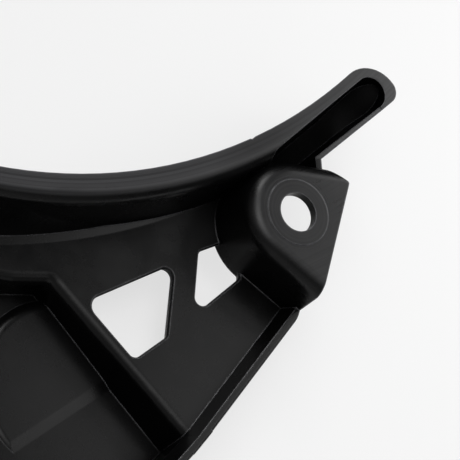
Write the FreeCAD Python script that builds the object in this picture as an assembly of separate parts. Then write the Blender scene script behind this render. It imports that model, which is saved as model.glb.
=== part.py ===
import FreeCAD, Part
import math
import os

# Sprocket cover, one moulded piece in black plastic, in millimetres.
# The origin is on the axis of the right fixing hole, in the seat of its ear.
# +Z leaves the seat towards the engine, +X runs along the cover, +Y points at the curved rim.

# Levels
wall = 1.8
web_wall = 1.5
web_drop = 11.0
bulge_drop = 18.0
web_z = -web_drop
floor_z = -bulge_drop
web_under_z = web_z - web_wall
bottom_z = floor_z - wall

# Fixing ears
hole_d = 7.0
seat_d = 12.0
seat_height = 0.15
ear_r = 9.4
ear_round = 2.7
ear_draft = 4.2
ear_top_bearing = 86.2
ear_low_bearing = 233.1
middle_x = -51.3
bottom_ear_y = -59.7

# Curved rim, an arc whose lowest point is given
rim_r = 99.2
rim_low_y = 2.8
lip_width = 2.2
rim_round = 3.0
rim_draft = 9.0
rim_skin = 2.1
rim_hollow_angle = 26.0
ledge_r = 126.6
ledge_x = -64.5
ledge_low_y = -7.5
ledge_turn_x = -55.5
ledge_width = 1.4
ledge_slope = 17.0
ledge_wall_slope = 66.0
ledge_top_drop = 1.5

# Finger and neck
tip_x = 16.69
tip_r = 6.0
tip_corner_round = 2.4
finger_bearing = 38.27
finger_side = 2.5
thin_wall = 0.65
thin_wall_draft = 4.0
thin_wall_drop = 3.0
thin_wall_slope = 27.0
slot_depth = 10.7
slot_lip = 2.15
slot_left = 3.97
slot_length = 28.0
scoop_length = 12.0
scoop_depth = 8.6
scoop_drop = 0.8
neck_x = 7.43
neck_foot_y = 8.85
neck_pocket_x = -1.0

# Outline below the neck
ear_corner = (11.0, 6.4)
ear_corner_round = 0.6
heel = (2.85, -16.8)
heel_round = 5.0
flank = (-18.05, -40.85)
tail_bearing = 225.5
tail_r = 10.5
horn_x = -111.0
horn_r = 4.5

# Flange along the lower sides
flange_height = 3.0
flange_foot = 2.95
flange_top = 1.5
flange_round = 0.65

# Bulge
border_y = -13.55
border_slope = 4.0
step_bearing = 133.4
step_top = 40.85
step_foot_bearing = 130.4
step_foot = 41.76
bulge_corner = 1.6
bulge_round = 2.0
bulge_outer_round = 1.5

# Raised pad on the floor of the bulge
pad_centre = (-39.8, -30.5)
pad_r = 15.9
pad_height = 0.5
pad_round = 1.8
pad_tilt = 2.6
pad_end = (-30.0, -29.0)
pad_end_bearing = 213.0
pad_end_slope = 12.0

# Windows, each corner with its x, y and radius
window_edge = 0.4
window_flare = 0.3
large_window = [
    (-37.3, -16.0, 1.9),
    (-28.6, -25.5, 1.3),
    (-21.9, -20.9, 1.0),
    (-19.2, -7.7, 1.3),
]
small_window = [
    (-15.9, -16.4, 1.3),
    (-6.2, -8.9, 1.0),
    (-8.2, -2.7, 0.5),
    (-13.8, -4.95, 0.9),
]

UP = FreeCAD.Vector(0, 0, 1)
BEYOND = 30.0


def vec(x, y, z=0.0):
    return FreeCAD.Vector(x, y, z)


SEAT = vec(0, 0)
TAIL = vec(middle_x, bottom_ear_y)
RIM = vec(middle_x, rim_low_y + rim_r)


def way(bearing):
    return vec(math.cos(math.radians(bearing)), math.sin(math.radians(bearing)))


def slope(angle):
    return math.tan(math.radians(angle))


def crossing(p, along_p, q, along_q):
    # Point where two lines in plan meet
    det = along_p.x * along_q.y - along_p.y * along_q.x
    t = ((q.x - p.x) * along_q.y - (q.y - p.y) * along_q.x) / det
    return p + along_p * t


def mirrored(shape):
    return shape.mirror(vec(middle_x, 0), vec(1, 0))


def closed_wire(start, steps):
    # A step is a point to draw a line to, or a pair of points to draw an arc through
    edges = []
    here = start
    for step in steps + [start]:
        if isinstance(step, tuple):
            edges.append(Part.Arc(here, step[0], step[1]).toShape())
            here = step[1]
        else:
            edges.append(Part.LineSegment(here, step).toShape())
            here = step
    return Part.Wire(edges)


def rounded_wire(corners, z):
    # Closed plan outline with an arc at each corner that is given a radius
    count = len(corners)
    cut = []
    for i in range(count):
        x, y, radius = corners[i]
        here = vec(x, y, z)
        after_corner = corners[(i + 1) % count]
        back = (vec(corners[i - 1][0], corners[i - 1][1], z) - here).normalize()
        on = (vec(after_corner[0], after_corner[1], z) - here).normalize()
        half = back.getAngle(on) / 2
        reach = radius / math.tan(half)
        inward = (back + on).normalize()
        peak = here + inward * (radius / math.sin(half) - radius)
        cut.append((here + back * reach, peak, here + on * reach))
    edges = []
    for i in range(count):
        start, peak, end = cut[i]
        if corners[i][2] > 0:
            edges.append(Part.Arc(start, peak, end).toShape())
        next_start = cut[(i + 1) % count][0]
        if (next_start - end).Length > 1e-6:
            edges.append(Part.LineSegment(end, next_start).toShape())
    return Part.Wire(edges)


def prism(corners, low, high):
    return Part.Face(rounded_wire(corners, low)).extrude(vec(0, 0, high - low))


def plain_prism(points, low, high):
    return prism([(p.x, p.y, 0) for p in points], low, high)


def bar(start, along, length, steps):
    # Straight bar; its section gives the distance to the left of the line, and the height
    left = vec(-along.y, along.x)

    def place(point):
        return start + left * point[0] + vec(0, 0, point[1])

    placed = [tuple(place(q) for q in step) if isinstance(step[0], tuple) else place(step) for step in steps]
    return Part.Face(closed_wire(placed[0], placed[1:])).extrude(along * length)


def turned(centre, start, steps):
    # Full turn of a section given by radius and height about a vertical axis
    def place(point):
        return vec(centre.x + point[0], centre.y, point[1])

    placed = [tuple(place(q) for q in step) if isinstance(step[0], tuple) else place(step) for step in steps]
    return Part.Face(closed_wire(place(start), placed)).revolve(centre, UP, 360)


def level_edges(shape, z):
    return [e for e in shape.Edges if all(abs(v.Z - z) < 1e-4 for v in e.Vertexes)]


def ear_wire(radius, z):
    # Round end about the hole and two straight sides that run off past the outline
    top = way(ear_top_bearing)
    low = way(ear_low_bearing)
    height = vec(0, 0, z)
    top_start = top * radius + height
    low_start = low * radius + height
    round_end = way((ear_top_bearing + ear_low_bearing) / 2) * radius + height
    top_far = top_start + vec(top.y, -top.x) * 22
    low_far = low_start + vec(-low.y, low.x) * 27
    return closed_wire(top_start, [(round_end, low_start), low_far, top_far])


def ear_loft(radius, top_z, low_z):
    # The ear widens downwards by its draft
    spread = (top_z - low_z) * slope(ear_draft)
    return Part.makeLoft([ear_wire(radius, top_z), ear_wire(radius + spread, low_z)], True, True)


def ear_cone(radius, top_z, low_z):
    spread = (top_z - low_z) * slope(ear_draft)
    return Part.makeCone(radius + spread, radius, top_z - low_z, TAIL + vec(0, 0, low_z))


def seat(centre):
    return Part.makeCylinder(seat_d / 2, 1 + seat_height, centre - vec(0, 0, 1 + seat_height))


def side_ear():
    block = ear_loft(ear_r, -seat_height, bottom_z)
    rim = [e for e in level_edges(block, -seat_height) if e.CenterOfMass.x < 15]
    return block.makeFillet(ear_round, rim).fuse(seat(SEAT))


def tail_ear():
    block = ear_cone(ear_r, -seat_height, bottom_z)
    return block.makeFillet(ear_round, level_edges(block, -seat_height)).fuse(seat(TAIL))


def ear_pockets():
    # Hollows under the ears for the screw heads, open below
    side = ear_loft(ear_r - wall, -wall, bottom_z - 1)
    return [side, mirrored(side), ear_cone(ear_r - wall, -wall, bottom_z - 1)]


def fixing_holes():
    places = [SEAT, vec(2 * middle_x, 0), TAIL]
    return [Part.makeCylinder(hole_d / 2, 2 * wall, p - vec(0, 0, 1.5 * wall)) for p in places]


def beside_rim(x, radius):
    # Centre of an upright post that just touches the rim's arc from below
    return vec(x, RIM.y - math.sqrt((rim_r + radius) ** 2 - (x - middle_x) ** 2))


def tip_centre():
    # The tip's round end runs smoothly into the rim's arc
    return beside_rim(tip_x, tip_r)


def finger_point(along, side):
    # Place on the finger: distance beyond the centre of its tip, and to its lower right
    run = way(finger_bearing)
    return tip_centre() + run * along + vec(run.y, -run.x) * side


def finger_prism(along_1, along_2, side_1, side_2, low, high):
    corners = [(along_1, side_1), (along_2, side_1), (along_2, side_2), (along_1, side_2)]
    return plain_prism([finger_point(a, b) for a, b in corners], low, high)


def horn_centre():
    return beside_rim(horn_x + horn_r, horn_r)


def round_post(centre, radius, draft, low, high):
    # Upright post with its radius given at the height of the seat, wider below for a positive draft
    low_r = radius - low * slope(draft)
    high_r = radius - high * slope(draft)
    return Part.makeCone(low_r, high_r, high - low, centre + vec(0, 0, low))


def lower_corners():
    # Right half of the outline below the neck
    heel_point = vec(heel[0], heel[1])
    run = way(tail_bearing)
    touch = TAIL + vec(-run.y, run.x) * tail_r
    tail_corner = crossing(touch, run, TAIL - vec(0, tail_r), vec(1, 0))
    bend = crossing(heel_point, vec(flank[0], flank[1]) - heel_point, touch, run)
    return heel_point, bend, touch, tail_corner


def upright(centre, radius, low, high):
    return Part.makeCylinder(radius, high - low, centre + vec(0, 0, low))


def beyond_tip_corner(low, high):
    # What the rounded corner leaves off where the round tip meets the straight side of the finger
    side = finger_side - tip_corner_round
    along = math.sqrt((tip_r - tip_corner_round) ** 2 - side ** 2)
    reach = 4 * tip_corner_round
    lean = reach / (tip_r - tip_corner_round)
    places = [
        (along, side),
        (along, side + reach),
        (along + reach, side + reach),
        (along * (1 + lean), side * (1 + lean)),
    ]
    wedge = plain_prism([finger_point(a, b) for a, b in places], low, high)
    return wedge.cut(upright(finger_point(along, side), tip_corner_round, low - 1, high + 1))


def outline(low, high):
    # Plan outline of the whole cover: body, horn and finger, less the round gap above the rim
    heel_point, bend, touch, tail_corner = lower_corners()
    right = [
        (neck_x, notch().y, 0),
        (neck_x, neck_foot_y, 0.6),
        (ear_corner[0], ear_corner[1], ear_corner_round),
        (heel_point.x, heel_point.y, heel_round),
        (bend.x, bend.y, 0),
        (tail_corner.x, tail_corner.y, tail_r),
    ]
    left = [(2 * middle_x - x, y, r) for x, y, r in reversed(right[2:])]
    horn = horn_centre()
    horn_inner = horn + (RIM - horn).normalize() * (horn_r + 3)
    rest = [
        (horn_x, neck_foot_y, 0.6),
        (horn_x, horn.y, 0),
        (horn.x, horn.y, 0),
        (horn_inner.x, horn_inner.y, 0),
    ]
    body = prism(right + left + rest, low, high)
    tip = tip_centre()
    tip_inner = tip + (RIM - tip).normalize() * (tip_r + 3)
    band_points = [
        tip,
        tip_inner,
        finger_point(-26, -8),
        finger_point(-26, finger_side),
        finger_point(0, finger_side),
    ]
    band = plain_prism(band_points, low, high)
    beyond_side = finger_prism(-tip_r, tip_r, finger_side, 2 * tip_r, low - 1, high + 1)
    round_tip = round_post(tip, tip_r, -rim_draft, low, high).cut(beyond_side)
    round_horn = upright(horn, horn_r, low, high)
    gap = round_post(RIM, rim_r, rim_draft, low - 1, high + 1)
    whole = body.fuse([band, round_tip, round_horn])
    return whole.cut([gap, beyond_tip_corner(low - 1, high + 1)]).removeSplitter()


def rim_shoulder(radius, top_z):
    # Rounded shoulder between the lip and the drafted wall, as an arc's middle and end
    lean = math.radians(rim_draft)
    turn = math.radians(45 + rim_draft / 2)
    hub_r = rim_r + lip_width
    hub_z = top_z - radius
    middle = (hub_r + radius * math.cos(turn), hub_z + radius * math.sin(turn))
    end = (hub_r + radius * math.cos(lean), hub_z + radius * math.sin(lean))
    return middle, end


def rim_block():
    # Lip, shoulder and wall of the rim, solid down to the underside
    middle, end = rim_shoulder(rim_round, 0)
    foot_r = end[0] + (end[1] - web_z) * slope(rim_draft)
    return turned(
        RIM,
        (rim_r - 4, 0),
        [(rim_r + lip_width, 0), (middle, end), (foot_r, web_z), (foot_r, bottom_z), (rim_r - 4, bottom_z)],
    )


def rim_hollow():
    # Space behind the rim, so that its lip and wall keep one thickness
    end = rim_shoulder(rim_round - rim_skin, -rim_skin)[1]
    foot_r = end[0] + (end[1] - web_under_z) * slope(rim_draft)
    low_z = bottom_z - 2
    whole = turned(
        RIM,
        (rim_r - 4, -rim_skin),
        [(rim_r + lip_width, -rim_skin), end, (foot_r, web_under_z), (foot_r, low_z), (rim_r - 4, low_z)],
    )
    side = way(270 + rim_hollow_angle)
    far = rim_r * 1.2
    fan = plain_prism(
        [RIM, RIM + vec(-side.x, side.y) * far, RIM + vec(0, -far), RIM + side * far],
        low_z - 1,
        1,
    )
    return whole.common(fan)


def ledge():
    # Gently sloping strip at the foot of the rim, and the steep wall above it
    crease_r = ledge_r - ledge_width
    crease_z = web_z + ledge_width * slope(ledge_slope)
    top_z = -ledge_top_drop
    top_r = crease_r - (top_z - crease_z) / slope(ledge_wall_slope)
    ring = turned(
        vec(ledge_x, ledge_low_y + ledge_r),
        (ledge_r, web_z),
        [(crease_r, crease_z), (top_r, top_z), (top_r, web_z - 1), (ledge_r, web_z - 1)],
    )
    right = ring.common(Part.makeBox(200, 200, 40, vec(ledge_turn_x, -100, -30)))
    return [right, right.mirror(vec(ledge_turn_x, 0), vec(1, 0))]


def notch():
    # Inner corner of the outline, between the finger and the neck
    return crossing(finger_point(0, finger_side), way(finger_bearing), vec(neck_x, 0), vec(0, 1))


def notch_along():
    return (notch() - tip_centre()).dot(way(finger_bearing))


def slot_end_round():
    return (slot_left + finger_side - thin_wall) / 2 - 0.05


def lip_end():
    # The lip runs round the tip until the slot's side is straight
    return tip_r - slot_lip - slot_end_round()


def finger_block():
    # Tip and finger at the height of the lip, neck and far end lower
    low_top = -thin_wall_drop
    tip = Part.makeCylinder(tip_r + 1, -bottom_z, tip_centre() + vec(0, 0, bottom_z))
    finger = finger_prism(4.5, notch_along(), -3, 6, bottom_z, 0)
    body = finger_prism(notch_along() + 1, -22, -3, 6, bottom_z, low_top)
    neck = Part.makeBox(neck_x + 3, 8, low_top - bottom_z, vec(neck_pocket_x, 5, bottom_z))
    horn_wall = Part.makeBox(wall, horn_centre().y - 5, low_top - bottom_z, vec(horn_x, 5, bottom_z))
    return tip.fuse([finger, body, neck, horn_wall])


def thin_wall_tops():
    # The thin wall comes down from the lip to the neck, and its top leans a little towards the slot
    lean = slope(thin_wall_slope)
    inner = -0.3
    outer = finger_side + 2

    def section(along, top_z):
        heights = [top_z - (finger_side - inner) * lean, top_z + (outer - finger_side) * lean, 3, 3]
        sides = [inner, outer, outer, inner]
        points = [finger_point(along, side) + vec(0, 0, z) for side, z in zip(sides, heights)]
        return Part.makePolygon(points + points[:1])

    fall = thin_wall_drop / (lip_end() - notch_along())
    neck_end = section(notch_along() - 1, -thin_wall_drop - fall)
    finger = Part.makeLoft([section(lip_end(), 0), neck_end], True, True)
    across = 2 * thin_wall
    neck_low = -thin_wall_drop - across * lean
    steps = [(-3, 3 * lean - thin_wall_drop), (across, neck_low), (across, 3), (-3, 3)]
    return [finger, bar(vec(neck_x, 5), vec(0, 1), notch().y - 4.5, steps)]


def slot_wire(z):
    inner_side = finger_side - thin_wall + z * slope(thin_wall_draft)
    lean = -z * slope(rim_draft)
    left = slot_left - lean
    head = tip_r - slot_lip - lean
    tail = tip_r - slot_lip - slot_length
    end_round = (left + inner_side) / 2 - 0.05
    corners = [(head, -left), (head, inner_side), (tail, inner_side), (tail, -left)]
    placed = [finger_point(a, b) for a, b in corners]
    return rounded_wire([(p.x, p.y, end_round) for p in placed], z)


def slot_side_view():
    # Deepest at the neck, and scooped up to the lip at the tip
    run = way(finger_bearing)
    head = tip_r - slot_lip
    tail = head - slot_length - 1
    bend = head - scoop_length
    rise = scoop_depth - scoop_drop
    radius = (scoop_length ** 2 + rise ** 2) / (2 * rise)
    turn = math.atan2(rise, scoop_length)
    middle = (bend + radius * math.sin(turn), radius * (1 - math.cos(turn)) - scoop_depth)
    section = [
        (tail, 2),
        (tail, -slot_depth),
        (bend, -scoop_depth),
        (middle, (head, -scoop_drop)),
        (head, 2),
    ]
    return bar(finger_point(0, -9), vec(run.y, -run.x), 18, section)


def neck_pocket():
    # The slot carries on between the rim and the ear, behind the neck's thin wall
    def level(z):
        gap = thin_wall - z * slope(thin_wall_draft)
        side = neck_x - gap
        turn = crossing(finger_point(0, finger_side - gap), way(finger_bearing), vec(side, 0), vec(0, 1))
        corners = [(side, 4, 0), (side, turn.y + 1, 0), (neck_pocket_x, 9.6, 0), (neck_pocket_x, 4, 0)]
        return rounded_wire(corners, z)

    return Part.makeLoft([level(2), level(-slot_depth)], True, True)


def slot():
    # Long slot in the finger; its walls towards the rim and the tip lean like the rim's wall
    tool = Part.makeLoft([slot_wire(1.0), slot_wire(-slot_depth)], True, True)
    return tool.fuse(neck_pocket()).common(slot_side_view())


def bulge_wire(grow, foot, z):
    # Outline of the bulge at its upper edge or its foot; it runs off past the flanges
    bearing = step_foot_bearing if foot else step_bearing
    reach = step_foot if foot else step_top
    border = vec(middle_x, border_y + grow / math.cos(math.radians(border_slope)))
    step = way(bearing + 90) * (reach - grow)
    corner = crossing(border, way(border_slope), step, way(bearing))
    far = crossing(step, way(bearing), vec(-12, 0), vec(0, 1))
    right = [(-12, -90, 0), (far.x, far.y, 0), (corner.x, corner.y, bulge_corner + grow)]
    left = [(2 * middle_x - x, y, r) for x, y, r in reversed(right)]
    return rounded_wire(right + [(border.x, border.y, 0)] + left, z)


def bulge_edges(shape, z):
    # Edges along the border and the steps, not those that run off past the flanges
    near = [e for e in level_edges(shape, z) if abs(e.CenterOfMass.x - middle_x) < 60]
    return [e for e in near if e.CenterOfMass.y > -75]


def bulge_outside():
    # Outer form of the bulge, one wall thickness outside its hollow, rounded along its flat face
    upper = bulge_wire(wall, False, web_under_z)
    form = Part.makeLoft([upper, bulge_wire(wall, True, bottom_z)], True, True)
    form = form.makeFillet(bulge_outer_round, bulge_edges(form, bottom_z))
    heel_point, bend, touch, tail_corner = lower_corners()
    above = heel_point * 2 - bend
    right = [(above.x, above.y, 0), (bend.x, bend.y, 0), (tail_corner.x, tail_corner.y, tail_r)]
    left = [(2 * middle_x - x, y, r) for x, y, r in reversed(right)]
    sides = prism(right + left, bottom_z, web_under_z)
    edges = [e for e in level_edges(sides, bottom_z) if e.CenterOfMass.y < above.y - 1]
    return form.common(sides.makeFillet(bulge_outer_round, edges))


def window(corners):
    # Through opening that flares a little towards the outer side
    upper = Part.Face(rounded_wire(corners, web_z + 1))
    neck = rounded_wire(corners, web_z)
    flared = Part.Face(rounded_wire(corners, web_under_z)).makeOffset2D(window_flare).OuterWire
    deep = Part.Face(flared).extrude(vec(0, 0, -BEYOND))
    return upper.extrude(vec(0, 0, -1)).fuse([Part.makeLoft([neck, flared], True, True), deep])


def near_window(edge):
    # True for an edge on the rim of a window on either side
    centre = edge.CenterOfMass
    x = middle_x + abs(centre.x - middle_x)
    for corners in (large_window, small_window):
        across = [c[0] for c in corners]
        up = [c[1] for c in corners]
        if min(across) - 0.1 < x < max(across) + 0.1 and min(up) - 0.1 < centre.y < max(up) + 0.1:
            return True
    return False


def pad():
    # Round pad, tilted a little, that ends in a soft straight ramp
    skirt = 3.0
    foot_z = -skirt
    top_r = pad_r - pad_height
    bend_r = top_r - pad_round * slope(22.5)

    def on_round(angle):
        turn = math.radians(angle)
        return bend_r + pad_round * math.cos(turn), pad_round * (math.sin(turn) - 1)

    middle = on_round(67.5)
    end = on_round(45)
    foot = (end[0] + skirt + end[1], foot_z)
    dome = turned(vec(0, 0), (0, 0), [(bend_r, 0), (middle, end), foot, (0, foot_z)])
    run = way(pad_end_bearing)
    dome.rotate(vec(0, 0), run, -pad_tilt)
    dome.translate(vec(pad_centre[0], pad_centre[1], floor_z + pad_height))
    ramp = bar(
        vec(pad_end[0], pad_end[1], floor_z) - run * 30,
        run,
        90,
        [(0, -1), (0, 0), (-50, 50 * slope(pad_end_slope)), (-50, -1)],
    )
    return dome.common(ramp)


def slab():
    # Web plate with the sunk bulge, its pad and the two pairs of windows
    block = Part.makeBox(150, 130, web_z - bottom_z, vec(middle_x - 75, -90, bottom_z))
    sink = Part.makeLoft([bulge_wire(0, False, web_z), bulge_wire(0, True, floor_z)], True, True)
    block = block.cut(sink)
    block = block.makeFillet(bulge_round, bulge_edges(block, web_z))
    block = block.fuse(pad())
    for corners in (large_window, small_window):
        tool = window(corners)
        block = block.cut([tool, mirrored(tool)])
    return block.makeChamfer(window_edge, [e for e in level_edges(block, web_z) if near_window(e)])


def flange(start, end):
    # Raised edge along one straight run of the outline, with a sloping inner face
    along = (end - start).normalize()
    top_z = web_z + flange_height
    turn = flange_round * (1 - math.sin(math.radians(45)))
    corner = ((-turn, top_z - turn), (-flange_round, top_z))
    section = [(0, bottom_z), (0, top_z - flange_round), corner, (-flange_top, top_z), (-flange_foot, web_z),
               (-flange_foot, bottom_z)]
    return bar(start - along * 3, along, (end - start).Length + 6, section)


def cover():
    outer = outline(bottom_z, 1)
    heel_point, bend, touch, tail_corner = lower_corners()
    flanges = [flange(heel_point, bend), flange(bend, touch)]
    flanges = flanges + [mirrored(f) for f in flanges]
    rim = rim_block().fuse(finger_block()).cut([slot()] + thin_wall_tops())
    ear = side_ear()
    form = slab().fuse(ledge() + flanges + [rim, ear, mirrored(ear), tail_ear()])
    form = form.common(outer)
    under_web = Part.makeBox(160, 140, web_under_z - bottom_z + 5, vec(middle_x - 80, -95, bottom_z - 5))
    under_web = under_web.cut(bulge_outside())
    return form.cut([under_web, rim_hollow()] + ear_pockets() + fixing_holes())


def main():
    os.makedirs("parts", exist_ok=True)
    shape = cover()
    print("solids", len(shape.Solids), "valid", shape.isValid(), "faces", len(shape.Faces))
    shape.exportStep("parts/sprocket_cover.step")


main()
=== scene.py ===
# %% [markdown]
# # A sprocket cover in black moulded plastic
# The cover is one moulded piece, and its shape comes ready from the CAD model. What is
# left for Blender is its look: a satin skin with the fine grain of the mould, greyer
# faces at the lip of the rim and on the ears, whose grey is partly their finish and partly
# painted light, and edges painted a little lighter as a painted highlight.
# This first cell loads the model. Everything is in metres, in the model's own frame, with
# the fixing hole at the origin and the face of its ear at height 0.

# %% Load the model
import bpy
import math
from mathutils import Matrix, Vector


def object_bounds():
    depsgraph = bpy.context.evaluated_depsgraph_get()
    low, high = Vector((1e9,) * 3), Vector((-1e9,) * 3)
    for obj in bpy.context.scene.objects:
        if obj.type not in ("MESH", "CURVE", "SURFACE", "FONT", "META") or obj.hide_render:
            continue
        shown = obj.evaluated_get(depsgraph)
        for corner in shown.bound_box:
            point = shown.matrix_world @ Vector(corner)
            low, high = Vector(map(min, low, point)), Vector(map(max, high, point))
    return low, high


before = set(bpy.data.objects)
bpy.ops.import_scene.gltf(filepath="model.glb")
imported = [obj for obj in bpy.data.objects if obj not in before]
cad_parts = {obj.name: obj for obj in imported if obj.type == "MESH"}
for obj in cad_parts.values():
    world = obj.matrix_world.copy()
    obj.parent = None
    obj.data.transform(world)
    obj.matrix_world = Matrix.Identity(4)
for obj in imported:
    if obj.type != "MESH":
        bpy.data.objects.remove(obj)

cad_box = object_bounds()
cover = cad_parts["sprocket_cover"]
mm_per_metre = 1000
print("cover box in mm", [round(v * mm_per_metre, 1) for corner in cad_box for v in corner])

# %% [markdown]
# ## Where the camera looks from
# In the photo, lines that are parallel on the part stay parallel, so it was taken from
# far away. A camera could be moved by eye until the view fits. Here its direction comes
# from the fixing hole: a round hole seen at a slant is an ellipse, and the shape of the
# ellipse gives the slant. Two directions in the part's frame are enough, one to the
# picture's right and one back to the viewer. The picture's up direction follows from them.

# %% Camera directions
picture_right = Vector((0.864, -0.083, 0.495)).normalized()
picture_back = Vector((-0.496, -0.303, 0.814)).normalized()
picture_up = picture_back.cross(picture_right).normalized()
picture_right = picture_up.cross(picture_back).normalized()
upright = Vector((0, 0, 1))
slant = math.degrees(picture_back.angle(upright))
print("line of sight", round(slant, 1), "degrees from upright")

# %% [markdown]
# ## The camera
# A long lens from 3 m away keeps the lines parallel. The length of the lens follows from
# the number of pixels that a millimetre takes up in the photo. The camera then moves
# sideways until the fixing hole, the origin of the model, falls on its own pixel.

# %% Camera
pixels = 460
pixels_per_mm = 5.8
hole_pixel = (298.4, 211.9)
distance = 3.0
sensor_width = 36
view_limit = 20

lens_data = bpy.data.cameras.new("camera")
lens_data.sensor_width = sensor_width
lens_data.lens = sensor_width * pixels_per_mm * distance * mm_per_metre / pixels
lens_data.clip_end = view_limit
camera = bpy.data.objects.new("camera", lens_data)
bpy.context.scene.collection.objects.link(camera)

shift_right = (pixels / 2 - hole_pixel[0]) / pixels_per_mm / mm_per_metre
shift_up = (hole_pixel[1] - pixels / 2) / pixels_per_mm / mm_per_metre
aim = picture_right * shift_right + picture_up * shift_up
turn = Matrix((picture_right, picture_up, picture_back)).transposed().to_4x4()
camera.matrix_world = Matrix.Translation(aim + picture_back * distance) @ turn
bpy.context.scene.camera = camera
print("lens", round(lens_data.lens), "mm")

# %% [markdown]
# ## The floor
# The cover lies on white paper, engine side up. A sheet that bends up behind the part is
# usual in a studio, but the view looks down so steeply that it sees only the flat part,
# so a large plane does. It lies a hair under the lowest form of the cover, because two
# faces in exactly the same place would render as a ragged mix of both.

# %% Floor
floor_size = 8
floor_gap = 0.0001
floor_height = cad_box[0][2] - floor_gap
bpy.ops.object.select_all(action="DESELECT")
bpy.ops.mesh.primitive_plane_add(size=floor_size, location=(0, 0, floor_height))
floor = bpy.context.object
floor.name = "floor"
print("floor at", round(floor_height * mm_per_metre, 1), "mm")

# %% [markdown]
# ## The paper
# Paper is a rough surface without shine. Its white could come from more light, but that
# would also wash out the black part. So the page is made lighter for the camera alone:
# the Light Path node picks out the rays that come straight from the camera, and for them
# a share of the paper gives way to an even glow. The rest stays paper, so the soft shadow
# still shows, though thinner. The helper adds a Math node to any node tree. It types
# numbers into the node's sockets and links the outputs of other nodes to them.

# %% Paper
full_white = (1, 1, 1, 1)
paper_white = (0.8, 0.8, 0.8, 1)
paper_roughness = 0.9
page_white = 0.96
page_share = 0.7


def calc(tree, operation, *values):
    node = tree.nodes.new("ShaderNodeMath")
    node.operation = operation
    for socket, value in zip(node.inputs, values):
        if isinstance(value, float):
            socket.default_value = value
        else:
            tree.links.new(value, socket)
    return node.outputs[0]


paper = bpy.data.materials.new("paper")
paper.use_nodes = True
sheet = paper.node_tree
paper_skin = sheet.nodes["Principled BSDF"]
paper_skin.inputs["Base Color"].default_value = paper_white
paper_skin.inputs["Roughness"].default_value = paper_roughness
paper_skin.inputs["Specular IOR Level"].default_value = 0.0

page_glow = sheet.nodes.new("ShaderNodeEmission")
page_glow.inputs["Color"].default_value = full_white
page_glow.inputs["Strength"].default_value = page_white
camera_ray = sheet.nodes.new("ShaderNodeLightPath").outputs["Is Camera Ray"]
page = sheet.nodes.new("ShaderNodeMixShader")
sheet.links.new(calc(sheet, "MULTIPLY", camera_ray, page_share), page.inputs["Fac"])
sheet.links.new(paper_skin.outputs[0], page.inputs[1])
sheet.links.new(page_glow.outputs[0], page.inputs[2])
sheet.links.new(page.outputs[0], sheet.nodes["Material Output"].inputs["Surface"])
floor.data.materials.append(paper)
print("paper nodes", len(sheet.nodes))

# %% [markdown]
# ## The bright patches of the studio
# Black plastic shows little more than what it mirrors, so the surroundings matter more
# than the lamps. A picture of a real studio could be wrapped round the scene. Soft round
# patches in a dark room are used here, because each can be moved by itself. A patch has
# an azimuth and an elevation in degrees, a sharpness that makes it small, and a strength.
# The one overhead carries the general light, and the flat faces hardly mirror it to the
# camera. The others give the walls and the round edges their lines of light.

# %% Bright patches
patches = {
    "overhead": (140, 76, 17.0, 4.0),
    "left_low": (160, 14, 12.0, 0.12),
    "front_low": (200, 14, 12.0, 0.08),
    "near_low": (240, 14, 12.0, 0.4),
    "right_low": (280, 14, 12.0, 0.55),
    "left_mid": (180, 52, 10.0, 0.4),
    "front_mid": (270, 52, 10.0, 0.13),
    "back_low": (100, 20, 60.0, 1.6),
    "lip_edge": (350, 36, 60.0, 1.0),
    "back_edge": (98, 41, 60.0, 8.0),
}
print("patches", ", ".join(patches))

# %% [markdown]
# ## The studio
# The world's nodes turn the list into light. The dot product of a ray's direction and the
# direction of a patch is 1 in the middle of the patch and falls off round it. Less 1,
# times the sharpness, and put through an exponent, it is a soft spot that fades from 1 to
# 0. The spots are added up. The camera is shown an even page white in their place, so
# that no patch is ever seen in the picture. Every other ray meets the patches, and the
# plastic mirrors them. No metal or glass is here that would have to show the page.

# %% Studio
world = bpy.data.worlds.new("studio")
bpy.context.scene.world = world
world.use_nodes = True
studio = world.node_tree
looked_in = studio.nodes.new("ShaderNodeTexCoord").outputs["Generated"]


def toward(azimuth, elevation):
    a = math.radians(azimuth)
    e = math.radians(elevation)
    return Vector((math.cos(e) * math.cos(a), math.cos(e) * math.sin(a), math.sin(e)))


def soft_patch(azimuth, elevation, sharpness, strength):
    dot = studio.nodes.new("ShaderNodeVectorMath")
    dot.operation = "DOT_PRODUCT"
    dot.inputs[1].default_value = toward(azimuth, elevation)
    studio.links.new(looked_in, dot.inputs[0])
    away = calc(studio, "SUBTRACT", dot.outputs["Value"], 1.0)
    spot = calc(studio, "EXPONENT", calc(studio, "MULTIPLY", away, sharpness))
    return calc(studio, "MULTIPLY", spot, strength)


spots = [soft_patch(*values) for values in patches.values()]
light = spots[0]
for spot in spots[1:]:
    light = calc(studio, "ADD", light, spot)

camera_ray = studio.nodes.new("ShaderNodeLightPath").outputs["Is Camera Ray"]
other_ray = calc(studio, "SUBTRACT", 1.0, camera_ray)
lit = calc(studio, "MULTIPLY", other_ray, light)
shown = calc(studio, "MULTIPLY", camera_ray, page_white)
background = studio.nodes["Background"]
background.inputs["Color"].default_value = full_white
studio.links.new(calc(studio, "ADD", lit, shown), background.inputs["Strength"])
print("studio nodes", len(studio.nodes))

# %% [markdown]
# ## Where the near panels go
# A flat face mirrors a patch far away by the same amount all over, but in the photo the
# web fades from one end to the other. A soft panel close to the part does that, because
# each place on the face then mirrors another part of the panel. The panels stand about
# the direction in which upward faces mirror the camera's line of sight. The list gives
# how far off each one is, its size, its shift up and to the side, square to that
# direction, all in metres, and its brightness.

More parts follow.
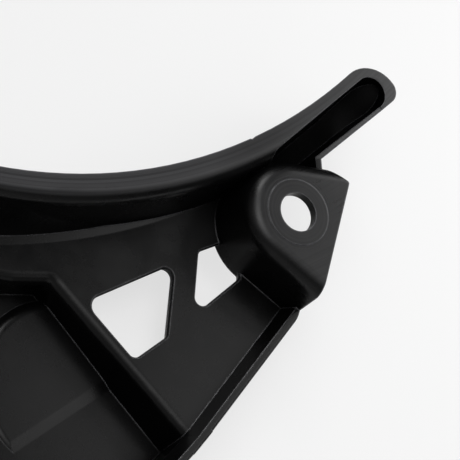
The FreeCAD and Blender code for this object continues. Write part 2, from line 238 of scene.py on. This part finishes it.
# %% Panel places
web_middle = Vector((-0.025, -0.018, -0.008))
beam = Vector((-picture_back.x, -picture_back.y, picture_back.z))
beam_side = upright.cross(beam).normalized()
beam_up = beam.cross(beam_side)
panels = {
    "panel_middle": (0.15, 0.075, 0.0, -0.035, 0.85),
    "panel_low": (0.15, 0.075, 0.0, -0.07, 0.5),
    "panel_lower": (0.15, 0.075, 0.0, -0.14, 0.14),
    "panel_corner": (0.15, 0.075, 0.07, -0.14, 0.5),
    "panel_right": (0.15, 0.075, -0.07, 0.0, 3.9),
    "panel_far": (0.30, 0.13, -0.12, -0.12, 1.9),
}
print("mirrored line of sight", [round(v, 3) for v in beam])

# %% [markdown]
# ## The near panels
# Each panel is a round area lamp that faces the middle of the web. The strength of a lamp
# is given in watts for the whole lamp, so the same watts on a larger lamp look dimmer.
# The list holds how bright the lamp's face looks instead, and the watts follow from that
# and from the lamp's area. The camera doesn't see the panels themselves.

# %% Near panels
def near_panel(name, place, size, brightness):
    lamp = bpy.data.lights.new(name, "AREA")
    lamp.shape = "DISK"
    lamp.size = size
    lamp.energy = math.pi * math.pi * (size / 2) ** 2 * brightness
    thing = bpy.data.objects.new(name, lamp)
    bpy.context.scene.collection.objects.link(thing)
    back = (place - web_middle).normalized()
    facing_web = back.to_track_quat("Z", "Y").to_matrix().to_4x4()
    thing.matrix_world = Matrix.Translation(place) @ facing_web
    thing.visible_camera = False
    return lamp.energy


watts = 0
for name, (away, size, move_up, move_side, brightness) in panels.items():
    place = web_middle + beam * away + beam_side * move_side + beam_up * move_up
    watts += near_panel(name, place, size, brightness)
print("near panels", len(panels), "with", round(watts, 2), "watts")

# %% [markdown]
# ## The plastic
# The cover looks like black plastic with a satin skin that it took from the wall of the
# mould. A picture could be wrapped over it, but a pattern that is worked out from the
# part's own coordinates has no seams and stays sharp from near by. This cell makes the
# material and reads the two things that the rest is built on, for every point of the
# skin: its place on the part, and the direction that it faces.

# %% Black plastic
plastic_ior = 1.5
plastic = bpy.data.materials.new("black_plastic")
plastic.use_nodes = True
nodes = plastic.node_tree.nodes
links = plastic.node_tree.links
skin = nodes["Principled BSDF"]
skin.inputs["IOR"].default_value = plastic_ior
skin_place = nodes.new("ShaderNodeTexCoord").outputs["Object"]
skin_normal = nodes.new("ShaderNodeNewGeometry").outputs["Normal"]


def split(vector):
    node = nodes.new("ShaderNodeSeparateXYZ")
    links.new(vector, node.inputs[0])
    return node.outputs


at = split(skin_place)
faces = split(skin_normal)
print("material", plastic.name)

# %% [markdown]
# ## Measures on the skin
# The next steps find places on the part by measures, such as a height or a distance. The
# places could be picked in edit mode instead, but measures still hold when the mesh of
# the model changes. Three helpers are enough. The first is a Map Range node, which turns
# a measure into a number from 0 to 1 or into any other range. The second multiplies, and
# the third gives the distance from a point, seen from straight above.

# %% Measures
hole_middle = (0.0, 0.0)


def spread(value, span, result=(0.0, 1.0)):
    node = nodes.new("ShaderNodeMapRange")
    node.inputs["From Min"].default_value = span[0]
    node.inputs["From Max"].default_value = span[1]
    node.inputs["To Min"].default_value = result[0]
    node.inputs["To Max"].default_value = result[1]
    links.new(value, node.inputs["Value"])
    return node.outputs["Result"]


def times(first, second):
    return calc(plastic.node_tree, "MULTIPLY", first, second)


def away_from(x, y):
    flat = nodes.new("ShaderNodeCombineXYZ")
    links.new(calc(plastic.node_tree, "SUBTRACT", at["X"], x), flat.inputs["X"])
    links.new(calc(plastic.node_tree, "SUBTRACT", at["Y"], y), flat.inputs["Y"])
    length = nodes.new("ShaderNodeVectorMath")
    length.operation = "LENGTH"
    links.new(flat.outputs[0], length.inputs[0])
    return length.outputs["Value"]


from_hole = away_from(*hole_middle)
print("measured from", hole_middle)

# %% [markdown]
# ## The greyer faces: finish and painted light
# In the photo the lip of the rim and the ear are greyer and duller than the rest, and the
# other ears are taken to be the same. They get a duller gloss, and a grey that is partly
# their finish and partly painted light, standing in for light that these top faces catch.
# The faces could be painted by hand. Two plain tests
# find them instead: such a face lies at the top of the part, and it faces straight up.
# Each gives a number from 0 to 1, and the two are multiplied. The ear is less grey than
# the lip, so a third measure thins the grey round the hole. A fourth thins it towards the
# finger, where the light here grows stronger than in the photo, to keep the lip's tone.
# This change along the rim is painted light.

# %% Greyer faces
top_height = (-0.0016, -0.0001)
facing_up = (0.8, 1.0)
ear_end = (0.012, 0.018)
ear_share = 0.45
painted_lip_light_run = (-0.05, 0.01)
painted_lip_light_end = 0.45

# Mask of the top faces: their grey is partly their finish and partly painted light.
rubbed_and_painted_light = times(spread(at["Z"], top_height), spread(faces["Z"], facing_up))
rubbed_and_painted_light = times(rubbed_and_painted_light, spread(from_hole, ear_end, (ear_share, 1.0)))
# Painted light: the grey thins along the rim towards the finger.
rubbed_and_painted_light = times(rubbed_and_painted_light, spread(at["X"], painted_lip_light_run, (1.0, painted_lip_light_end)))
grey_faces = [f for f in cover.data.polygons if f.center.z > top_height[0] and f.normal.z > facing_up[0]]
print("greyer faces", round(sum(f.area for f in grey_faces) * mm_per_metre ** 2), "mm2")

# %% [markdown]
# ## Fine tool lines
# These faces carry fine lines, such as a cutter leaves: rings close round the hole, and
# arcs along the rim everywhere else. Cut into the model they would cost many faces. A
# noise in one dimension makes them as a pattern. It reads a single number, and when that
# number is the distance from a point, its stripes are circles about the point, which is
# the middle of the hole for the rings and the middle of the rim's arc for the others.

# %% Tool lines
rim_middle = (-0.0513, 0.102)
ring_end = (0.0065, 0.0085)
ring_scale = 2600
arc_scale = 2200
line_detail = 2


def noise(scale, detail, measure=None):
    node = nodes.new("ShaderNodeTexNoise")
    node.inputs["Scale"].default_value = scale
    node.inputs["Detail"].default_value = detail
    if measure is None:
        links.new(skin_place, node.inputs["Vector"])
    else:
        node.noise_dimensions = "1D"
        links.new(measure, node.inputs["W"])
    return node.outputs["Fac"]


def blend(amount, first, second):
    node = nodes.new("ShaderNodeMix")
    links.new(amount, node.inputs["Factor"])
    for socket, value in ((node.inputs["A"], first), (node.inputs["B"], second)):
        if isinstance(value, float):
            socket.default_value = value
        else:
            links.new(value, socket)
    return node.outputs["Result"]


rings = noise(ring_scale, line_detail, from_hole)
arcs = noise(arc_scale, line_detail, away_from(*rim_middle))
tool_lines = blend(spread(from_hole, ring_end, (1.0, 0.0)), arcs, rings)
print("tool lines about", round(mm_per_metre / arc_scale, 2), "mm apart")

# %% [markdown]
# ## Shade and gloss
# Moulded black is never quite even. One colour and one gloss would be simpler, but would
# look like a drawing. Here slow clouds drift the shade, and clouds and smaller spots
# together change the gloss. On the greyer faces, a lighter shade and a duller gloss that
# follow the tool lines take over, and that lighter shade is partly painted light. A noise
# stays near the middle of its range, so only that middle is stretched over the shades.

# %% Shade and gloss
cloud_scale = 60
cloud_detail = 3
spot_scale = 260
spot_detail = 4
black_shade = (0.0014, 0.0024)
grey_and_painted_light_shade = (0.024, 0.046)
black_gloss = (0.235, 0.315)
grey_gloss = (0.34, 0.46)
noise_middle = (0.3, 0.7)
line_middle = (0.38, 0.62)
sum_middle = (0.7, 1.3)

clouds = noise(cloud_scale, cloud_detail)
clouds_and_spots = calc(plastic.node_tree, "ADD", clouds, noise(spot_scale, spot_detail))
black = spread(clouds, noise_middle, black_shade)
# The lighter grey of the top faces is partly their finish and partly painted light.
grey = spread(tool_lines, line_middle, grey_and_painted_light_shade)
base = blend(rubbed_and_painted_light, black, grey)
satin = spread(clouds_and_spots, sum_middle, black_gloss)
dull = spread(tool_lines, noise_middle, grey_gloss)
links.new(blend(rubbed_and_painted_light, satin, dull), skin.inputs["Roughness"])
print("black", black_shade, "grey", grey_and_painted_light_shade)

# %% [markdown]
# ## Edges and corners
# Two nodes look at the shape round a point, which saves painting either by hand. The
# Bevel node gives the direction that the skin would face if all edges were a little
# rounder, so it differs from the real one only near an edge. Ambient Occlusion gives 1 on
# open skin and less in a corner where other walls stand near.

# %% Edges and corners
edge_radius = 0.0004
edge_samples = 6
corner_reach = 0.009
corner_samples = 8

edges = nodes.new("ShaderNodeBevel")
edges.samples = edge_samples
edges.inputs["Radius"].default_value = edge_radius
hollow = nodes.new("ShaderNodeAmbientOcclusion")
hollow.samples = corner_samples
hollow.inputs["Distance"].default_value = corner_reach
openness = hollow.outputs["AO"]
print("edges", edge_radius * mm_per_metre, "mm, corners", corner_reach * mm_per_metre, "mm")

# %% [markdown]
# ## Lighter edges: a painted highlight
# The edges of the cover are painted a little lighter than its faces, a painted highlight
# in the colour for the lines of light that round edges catch. The two directions at a point
# agree on a face and differ at an edge, so their dot product finds the edges. A fine noise
# breaks the line up, and corners are left out. The finished colour then gets a touch of blue.

# %% Lighter edges
edge_turn = (0.8, 0.985)
edge_highlight_shade = 0.16
break_scale = 900
break_detail = 3
break_middle = (0.3, 0.6)
edge_break = (0.45, 1.0)
clear_of_corners = (0.35, 0.6)
blue_share = 1.06

agree = nodes.new("ShaderNodeVectorMath")
agree.operation = "DOT_PRODUCT"
links.new(edges.outputs["Normal"], agree.inputs[0])
links.new(skin_normal, agree.inputs[1])
# Painted highlight: the edges get a lighter colour in place of the light they catch.
painted_edge_highlight = spread(agree.outputs["Value"], edge_turn, (1.0, 0.0))
painted_edge_highlight = times(painted_edge_highlight, spread(noise(break_scale, break_detail), break_middle, edge_break))
painted_edge_highlight = times(painted_edge_highlight, spread(openness, clear_of_corners))
base = blend(painted_edge_highlight, base, edge_highlight_shade)

tint = nodes.new("ShaderNodeCombineColor")
links.new(base, tint.inputs["Red"])
links.new(base, tint.inputs["Green"])
links.new(times(base, blue_share), tint.inputs["Blue"])
links.new(tint.outputs[0], skin.inputs["Base Color"])
print("edge shade", edge_highlight_shade)

# %% [markdown]
# ## Dark corners
# A deep corner mirrors mostly the part's own black walls, and the render works that out
# by itself. In the photo many corners are darker still, and so is the slot of the finger.
# This cell follows the photo, and isn't a property of plastic: the mirror image gets
# weaker in corners, and once more in the slot, which is found by its place. It is a
# compromise, because a few corners of the bulge then come out darker than the photo's.
# The number on the socket itself is for file formats that can't carry the nodes.

# %% Dark corners
mirror_level = 0.3
corner_level = 0.05
slot_share = 0.05
corner_open = (0.25, 0.9)
slot_open = (0.4, 0.95)
slot_left = (-0.004, 0.002)
slot_front = (0.008, 0.011)
slot_right = (0.013, 0.021)

in_slot = times(spread(at["X"], slot_left), spread(at["Y"], slot_front))
in_slot = times(in_slot, spread(at["X"], slot_right, (1.0, 0.0)))
slot_dark = blend(in_slot, 1.0, spread(openness, slot_open, (slot_share, 1.0)))
shine = times(spread(openness, corner_open, (corner_level, mirror_level)), slot_dark)
skin.inputs["Specular IOR Level"].default_value = mirror_level
links.new(shine, skin.inputs["Specular IOR Level"])
print("mirror level", mirror_level, "and", corner_level, "in corners")

# %% [markdown]
# ## Grain and lines in relief
# The tool lines and the grain of the mould are far too fine to model. A Bump node tilts
# the direction that the skin faces, so that it catches the light as if it were rough, and
# leaves the shape alone. Two of them are chained: the lines start from the rounded edges
# of the Bevel node, and the grain goes on top of the lines. The finished plastic then
# goes on the cover.

# %% Relief
line_strength = 0.3
line_depth = 0.00002
grain_strength = 0.25
grain_depth = 0.00003
grain_scale = 2200
grain_detail = 2


def relief(height, strength, depth, normal):
    node = nodes.new("ShaderNodeBump")
    node.inputs["Strength"].default_value = strength
    node.inputs["Distance"].default_value = depth
    links.new(height, node.inputs["Height"])
    links.new(normal, node.inputs["Normal"])
    return node.outputs["Normal"]


lined = relief(times(tool_lines, rubbed_and_painted_light), line_strength, line_depth, edges.outputs["Normal"])
grained = relief(noise(grain_scale, grain_detail), grain_strength, grain_depth, lined)
links.new(grained, skin.inputs["Normal"])
for slot in cover.material_slots:
    slot.material = plastic
print("plastic nodes", len(nodes), "on", cover.name)

# %% [markdown]
# ## Closing
# The colours are shown through the plain Standard view transform.

bpy.context.scene.view_settings.view_transform = "Standard"
